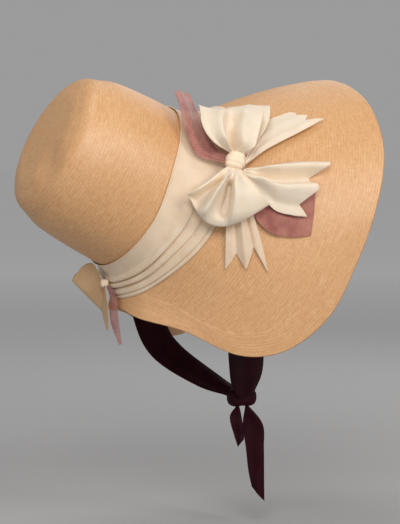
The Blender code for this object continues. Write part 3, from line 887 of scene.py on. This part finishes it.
bowRibbons = {
    "bowLoopUpper": {
        "nodes": ["bow_loop_upper"], "loop": True, "length": 0.15, "cloth": 0.7, "gathers": (3, 0.022),
        "steps": (64, 88),
        "rows": [
            (-0.08, 0.100, 0.225, 0.08, 0.100, 0.225, 0.00),
            (-0.36, 0.12, 0.34, 0.22, 0.15, 0.34, 0.00),
            (-0.61, 0.24, 0.38, 0.26, 0.26, 0.38, 0.00),
            (-0.78, 0.44, 0.39, 0.30, 0.42, 0.38, 0.02),
            (-0.72, 0.84, 0.33, 0.38, 0.70, 0.32, 0.02),
            (-0.60, 0.68, 0.24, 0.34, 0.60, 0.26, 0.02),
            (-0.30, 0.38, 0.22, 0.22, 0.38, 0.23, 0.00),
            (-0.08, 0.100, 0.190, 0.08, 0.100, 0.190, 0.00)],
        "folds": [
            (0.46, 0.64, 0.04, 0.57, (0.045, 0.150), -0.200),
            (0.38, 0.54, 0.06, 0.57, (0.200, 0.050), 0.110),
            (0.80, 0.76, 0.06, 0.60, 0.110, 0.070),
            (0.05, 0.04, 0.12, 0.56, 0.030, 0.015)],
    },
    "bowLoopBehind": {
        "nodes": ["bow_loop_behind"], "loop": True, "length": 0.19, "cloth": 0.5, "gathers": (3, 0.012),
        "rows": [
            (-0.07, 0.095, 0.155, 0.08, 0.095, 0.155, 0.00),
            (-0.16, 0.46, 0.155, 0.30, 0.40, 0.165, 0.00),
            (-0.10, 0.86, 0.16, 0.44, 0.64, 0.19, 0.00),
            (-0.04, 1.12, 0.14, 0.52, 0.94, 0.15, 0.00),
            (-0.08, 0.84, 0.085, 0.42, 0.64, 0.11, 0.00),
            (-0.12, 0.46, 0.10, 0.28, 0.40, 0.12, 0.00),
            (-0.07, 0.085, 0.120, 0.07, 0.085, 0.120, 0.00)],
        "folds": [(0.55, 0.50, 0.10, 0.60, 0.12, 0.020)],
    },
    "bowLoopLower": {
        "nodes": ["bow_loop_lower"], "loop": True, "length": 0.15, "cloth": 0.8, "gathers": (3, 0.022),
        "steps": (64, 88),
        "rows": [
            (-0.08, -0.100, 0.225, 0.08, -0.100, 0.225, 0.00),
            (-0.29, -0.40, 0.36, 0.27, -0.27, 0.35, 0.00),
            (-0.45, -0.58, 0.40, 0.44, -0.36, 0.38, -0.06),
            (-0.56, -0.70, 0.28, 0.58, -0.40, 0.28, -0.33),
            (-0.48, -0.64, 0.19, 0.50, -0.36, 0.21, -0.28),
            (-0.26, -0.38, 0.19, 0.26, -0.26, 0.21, -0.04),
            (-0.08, -0.100, 0.190, 0.08, -0.100, 0.190, 0.00)],
        "folds": [
            (0.44, 0.28, 0.02, 0.54, (0.050, 0.060), 0.150),
            (0.32, 0.10, 0.04, 0.52, 0.090, -0.130),
            (0.53, 0.56, 0.12, 0.46, (0.080, 0.022), -0.270),
            (0.60, 0.66, 0.04, 0.52, (0.030, 0.150), 0.100),
            (0.08, 0.02, 0.10, 0.50, 0.060, 0.050)],
    },
    "bowTailRight": {
        "nodes": ["bow_tail_right"], "length": 0.095, "cloth": 0.55, "gathers": (3, 0.020),
        "cut": [(0, 0), (0.10, 0.01), (0.26, 0.17), (0.52, 0.03), (0.78, 0.20), (1, 0)],
        "rows": [
            (0.120, -0.08, 0.190, 0.110, -0.15, 0.190, 0.00),
            (0.43, 0.04, 0.13, 0.37, -0.28, 0.13, 0.00),
            (0.64, 0.11, 0.12, 0.66, -0.42, 0.11, 0.00),
            (0.94, 0.17, 0.12, 0.92, -0.41, 0.10, 0.00),
            (1.29, 0.22, 0.10, 1.13, -0.37, 0.09, 0.00)],
        "folds": [
            (0.44, 0.28, 0.03, 1.00, (0.120, 0.050), -0.085),
            (0.14, 0.09, 0.06, 1.00, 0.080, 0.120),
            (0.60, 0.44, 0.06, 1.00, (0.060, 0.200), 0.130),
            (0.84, 0.80, 0.30, 1.00, 0.080, -0.030)],
    },
    "bowTailUpper": {
        "nodes": ["bow_tail_upper"], "length": 0.115, "cloth": 0.34, "gathers": (2, 0.008),
        "cut": [(0, 0.02), (0.18, 0.0), (0.30, 0.10), (0.55, 0.02), (0.66, 0.13), (1, 0)],
        "rows": [
            (0.115, 0.075, 0.120, 0.130, 0.015, 0.120, 0.00),
            (0.24, 0.60, 0.05, 0.36, 0.25, 0.10, 0.00),
            (0.44, 0.78, 0.05, 0.61, 0.42, 0.08, 0.00),
            (0.68, 0.85, 0.06, 0.94, 0.59, 0.08, 0.00),
            (0.79, 0.88, 0.06, 1.26, 0.75, 0.07, 0.00)],
        "folds": [(0.80, 0.86, 0.05, 1.00, 0.100, 0.020), (0.45, 0.45, 0.10, 1.00, 0.150, 0.012)],
    },
    "bowTailLower": {
        "nodes": ["bow_tail_lower"], "length": 0.112, "cloth": 0.4, "gathers": (3, 0.015),
        "cut": [(0, 0), (0.29, 0.20), (0.50, 0.03), (0.77, 0.25), (1, 0)],
        "rows": [
            (-0.07, -0.095, 0.150, 0.08, -0.095, 0.150, 0.00),
            (0.00, -0.52, 0.11, 0.28, -0.40, 0.12, 0.00),
            (0.14, -0.83, 0.08, 0.50, -0.64, 0.09, 0.00),
            (0.29, -1.09, 0.05, 0.71, -0.83, 0.06, 0.00),
            (0.44, -1.30, 0.020, 0.97, -1.04, 0.025, 0.00)],
        "folds": [
            (0.55, 0.52, 0.08, 1.00, 0.090, 0.050),
            (0.72, 0.77, 0.10, 1.00, (0.030, 0.060), -0.045),
            (0.32, 0.29, 0.10, 1.00, 0.060, -0.030)],
    },
    "gauzeLoopUpper": {
        "nodes": ["gauze_loop_upper"], "length": 0.105, "cloth": 0.46, "gathers": (3, 0.018),
        "rows": [
            (-0.130, -0.05, 0.190, -0.130, 0.05, 0.190, 0.00),
            (-0.58, -0.01, 0.12, -0.32, 0.26, 0.10, 0.00),
            (-0.88, 0.21, 0.19, -0.46, 0.58, 0.11, 0.00),
            (-1.06, 0.50, 0.27, -0.58, 0.98, 0.17, 0.00),
            (-1.17, 0.86, 0.32, -0.86, 1.14, 0.31, 0.06)],
        "folds": [(0.35, 0.30, 0.05, 1.00, 0.12, 0.030), (0.75, 0.85, 0.05, 1.00, 0.07, 0.025),
                  (0.05, 0.05, 0.10, 1.00, 0.04, 0.020)],
    },
    "gauzeLoopLower": {
        "nodes": ["gauze_loop_lower"], "length": 0.097, "cloth": 0.42, "gathers": (3, 0.010),
        "rows": [
            (0.17, -0.16, 0.035, 0.10, -0.22, 0.035, 0.00),
            (0.56, -0.34, 0.022, 0.46, -0.58, 0.040, 0.00),
            (0.82, -0.22, 0.020, 0.78, -0.65, 0.050, 0.00),
            (1.00, -0.12, 0.018, 1.04, -0.62, 0.035, 0.00),
            (1.16, -0.06, 0.014, 1.29, -0.53, 0.016, 0.00)],
        "folds": [(0.60, 0.55, 0.20, 0.95, 0.10, 0.012)],
    },
    "gauzeFoldLower": {
        "nodes": [], "length": 0.062, "cloth": 0.40, "gathers": (2, 0.006),
        "rows": [
            (0.19, -0.17, 0.050, 0.12, -0.22, 0.055, 0.00),
            (0.50, -0.33, 0.046, 0.42, -0.55, 0.062, 0.00),
            (0.66, -0.30, 0.042, 0.66, -0.66, 0.070, 0.00),
            (0.74, -0.28, 0.040, 0.90, -0.66, 0.052, 0.00)],
        "folds": [(0.50, 0.50, 0.20, 1.00, 0.20, 0.010)],
    },
}


def makeBow():
    for name, form in bowRibbons.items():
        gauze = name.startswith("gauze")
        # painted shade: the lower tail wears the darker, warmer satin, for the shade of the lower loop
        # over it
        silk = paintedShadeSatin if name == "bowTailLower" else creamSilk
        makeRibbon(name, form, onBow, bow["ribbon"], mauveGauze if gauze else silk,
                   "gauze" if gauze else "silk")
    centre = onBow(0, 0, bow["knotLift"] / bow["ribbon"])
    normal = (centre - onBow(0, 0, 0)).normalized()
    along = onBow(0.1, 0, 0) - onBow(-0.1, 0, 0)
    along = (along - normal * along.dot(normal)).normalized()
    makeKnot("bowKnot", centre, bow["knot"], (along, normal.cross(along), normal), creamSilk,
             "silk", "bow_knot", 3)


def makeKnot(name, centre, radii, axes, material, slot, node, wraps):
    # a pillow with the creases of a ribbon wrapped round it
    bpy.ops.object.select_all(action="DESELECT")
    bpy.ops.mesh.primitive_uv_sphere_add(segments=72, ring_count=40, radius=1)
    knot = bpy.context.active_object
    knot.name = knot.data.name = name
    turnTo = Matrix(axes).transposed()
    for v in knot.data.vertices:
        x, y, z = v.co
        crease = abs(math.sin(math.pi * wraps * (0.45 * y + 0.5) + 0.9 * x))
        size = 1 - 0.13 * (1 - crease ** 0.55) * (1 - abs(y) ** 6)
        size += 0.04 * math.sin(2.5 * x + 1.5 * y)
        box = [math.copysign(abs(c) ** 0.68, c) * r * size for c, r in zip((x, y, z), radii)]
        v.co = centre + turnTo @ Vector(box)
    uvs = knot.data.uv_layers[0]
    uvs.name = "cloth"
    for loop in uvs.data:
        loop.uv = (loop.uv.x * 0.04, loop.uv.y * 0.03)
    bpy.ops.object.shade_smooth()
    dress(knot, material, slot, node)


makeBow()
print("bow tied")

# The nape bow, in shares of its ribbon from the nape point: left, back and up of each edge

nape = {
    "ribbon": 0.045,
    "knotRadius": 0.0045,
    "turn": -2,
    "lift": 0.0111,
}
napePoint = lifted(nape["turn"], 0, nape["lift"])


def onNape(left, back, up):
    return napePoint + Vector((left, back, up)) * nape["ribbon"]


napeRibbons = {
    "napeLoop": {
        "nodes": ["nape_loop"], "length": 0.06, "cloth": 0.68, "steps": (24, 40), "gathers": (2, 0.02),
        "rows": [
            (0.09, 0.03, 0.07, 0.09, 0.02, -0.07, 0.00),
            (0.24, 0.22, 0.46, 0.24, -0.06, -0.20, 0.00),
            (0.38, 0.45, 0.38, 0.38, -0.12, -0.52, 0.00),
            (0.56, 0.62, 0.04, 0.56, -0.18, -0.74, 0.00),
            (0.74, 0.46, 0.20, 0.74, -0.10, -0.54, 0.00),
            (0.72, 0.26, 0.26, 0.72, 0.02, -0.26, 0.00)],
    },
    "napeTail": {
        "nodes": ["nape_tail"], "length": 0.05, "cloth": 0.36, "steps": (16, 40), "gathers": (1, 0.02),
        "rows": [
            (0.05, 0.00, -0.09, -0.03, 0.00, -0.09, 0.00),
            (0.26, -0.06, -0.42, -0.14, -0.01, -0.42, 0.00),
            (0.34, -0.08, -0.75, -0.16, -0.03, -0.75, 0.00),
            (0.04, -0.07, -1.16, -0.08, -0.06, -1.12, 0.00)],
    },
    "napeGauzeTail": {
        "nodes": ["nape_gauze_tail"], "length": 0.068, "cloth": 0.36,
        "steps": (20, 48), "gathers": (2, 0.02),
        "rows": [
            (-0.04, -0.04, -0.09, -0.10, -0.05, -0.05, 0.00),
            (-0.05, -0.12, -0.36, -0.32, -0.16, -0.34, 0.00),
            (-0.03, -0.12, -0.72, -0.36, -0.19, -0.70, 0.00),
            (-0.07, -0.16, -1.05, -0.34, -0.24, -1.05, 0.00),
            (-0.20, -0.30, -1.50, -0.27, -0.33, -1.48, 0.00)],
    },
}


def makeNapeBow():
    for name, form in napeRibbons.items():
        gauze = "Gauze" in name
        # painted shade: the nape loop and tail wear a darker copy of the satin, for the shade they hang
        # in
        makeRibbon(name, form, onNape, nape["ribbon"], mauveGauze if gauze else napePaintedShadeSatin,
                   "gauze" if gauze else "silk")
    makeKnot("napeKnot", napePoint, (nape["knotRadius"],) * 3,
             (Vector((1, 0, 0)), Vector((0, 1, 0)), Vector((0, 0, 1))),
             creamSilk, "silk", "nape_knot", 2)


makeNapeBow()
print("nape bow tied")

# Chin ties. Each row: middle to the side, ahead and down, in shares of the chin's reach and drop;
# then from the middle to the front edge, in shares of the ribbon.

ties = {
    "ribbon": 0.042,
    "chinReach": 0.107,
    "chinDrop": 0.226,
    "knot": (0.012, 0.017, 0.011),
    "seamTurn": 96,
    "seamDrop": 6,
    "seamReach": 0.010,
    "seamClearance": 0.0012,
}

tieRows = {
    "tieRight": [
        (0.840, 0.430, 0.350, -0.05, 0.48, 0.00),
        (0.600, 0.720, 0.625, -0.05, 0.51, -0.03),
        (0.420, 0.840, 0.780, 0.00, 0.51, -0.11),
        (0.220, 0.945, 0.905, 0.00, 0.45, -0.13)],
    "tieLeft": [
        (0.795, 0.195, 0.350, -0.01, 0.45, 0.00),
        (0.660, 0.225, 0.620, 0.03, 0.47, 0.00),
        (0.560, 0.375, 0.780, 0.05, 0.42, -0.16),
        (0.300, 0.740, 0.925, 0.05, 0.36, -0.13)],
    "tieTailLong": [
        (-0.010, 1.120, 1.140, -0.10, 0.25, 0.00),
        (0.000, 1.150, 1.260, -0.10, 0.22, 0.00),
        (0.005, 1.170, 1.390, -0.09, 0.19, 0.05),
        (0.015, 1.195, 1.495, -0.08, 0.15, 0.19)],
    "tieTailShort": [
        (-0.070, 0.890, 1.095, -0.05, 0.15, 0.00),
        (-0.080, 0.922, 1.175, -0.05, 0.12, -0.03),
        (-0.100, 0.935, 1.225, -0.04, 0.07, -0.10)],
}


def tieEdges(row, sideSign):
    reach, drop = ties["chinReach"], ties["chinDrop"]
    middle = Vector((sideSign * row[0] * reach, -row[1] * reach, -row[2] * drop))
    half = Vector((sideSign * row[3], -row[4], -row[5])) * ties["ribbon"]
    return middle + half, middle - half


def tieSheet(name, ends, length, node, creases):
    # a ribbon through pairs of edge points, with soft creases along it
    table = [(k / (len(ends) - 1), *front, *back) for k, (front, back) in enumerate(ends)]
    across, along = 20, 110

    def place(i, j):
        u, long = i / across, j / along
        values = [readSmooth(table, long, column) for column in range(1, 7)]
        front, back = Vector(values[:3]), Vector(values[3:])
        later = [readSmooth(table, min(long + 0.01, 1), column) for column in range(1, 7)]
        earlier = [readSmooth(table, max(long - 0.01, 0), column) for column in range(1, 7)]
        down = Vector(later[:3]) + Vector(later[3:]) - Vector(earlier[:3]) - Vector(earlier[3:])
        normal = (back - front).cross(down).normalized()
        crease = math.sin(math.tau * (creases * u + 0.15 * math.sin(5 * long))) * 0.0011
        crease += 0.0012 * math.sin(math.tau * (2.2 * long + 0.4 * u)) * u * (1 - u) * 2
        crease *= ease(long / 0.08) * (1 if "Tail" in name else ease((1 - long) / 0.05))
        return front.lerp(back, u) + normal * crease

    def uvOf(i, j, low):
        return i / across * ties["ribbon"], j / along * length

    piece = addGrid(name, across, along, place, uvOf)
    addWall(piece, ribbonCloth, 0)
    dress(piece, plumRibbon, "tie_ribbon", node)


def makeTies():
    reach, drop = ties["chinReach"], ties["chinDrop"]
    width, depth, height = ties["knot"]
    chin = Vector((0, -reach, -drop))
    sides = (("tieRight", "tie_right", 1, 0.27), ("tieLeft", "tie_left", -1, 0.27))
    for name, node, sideSign, length in sides:
        ends = []
        for turnDrop, clear in ((0, 1), (ties["seamDrop"], 3)):
            turn = sideSign * (ties["seamTurn"] - turnDrop)
            inside = -(0.002 + ribbonCloth + clear * ties["seamClearance"])
            ends.append((lifted(turn, ties["seamReach"] + ties["ribbon"], inside, brimAt),
                         lifted(turn, ties["seamReach"], inside, brimAt)))
        ends += [tieEdges(row, -sideSign) for row in tieRows[name]]
        across = -sideSign * width * 0.92
        ends.append((chin + Vector((across, -0.5 * depth, 0.3 * height)),
                     chin + Vector((across, 0.5 * depth, -0.1 * height))))
        tieSheet(name, ends, length, node, 1.5)
    tails = (("tieTailLong", "tie_tail_long", (0.002, -0.008), (-0.004, -0.002), 0.105, 0.46),
             ("tieTailShort", "tie_tail_short", (0.001, 0.004), (-0.003, 0.009), 0.046, 0.31))
    for name, node, front, back, length, cloth in tails:
        top = (chin + Vector((*front, -0.9 * height)), chin + Vector((*back, -0.9 * height)))
        tieSheet(name, [top] + [tieEdges(row, 1) for row in tieRows[name]],
                 length, node, 1.0)
    makeKnot("tieKnot", chin, ties["knot"], (Vector((1, 0, 0)), Vector((0, 1, 0)), Vector((0, 0, 1))),
             plumRibbon, "tie_ribbon", "tie_knot", 2)


makeTies()
print("chin ties tied")
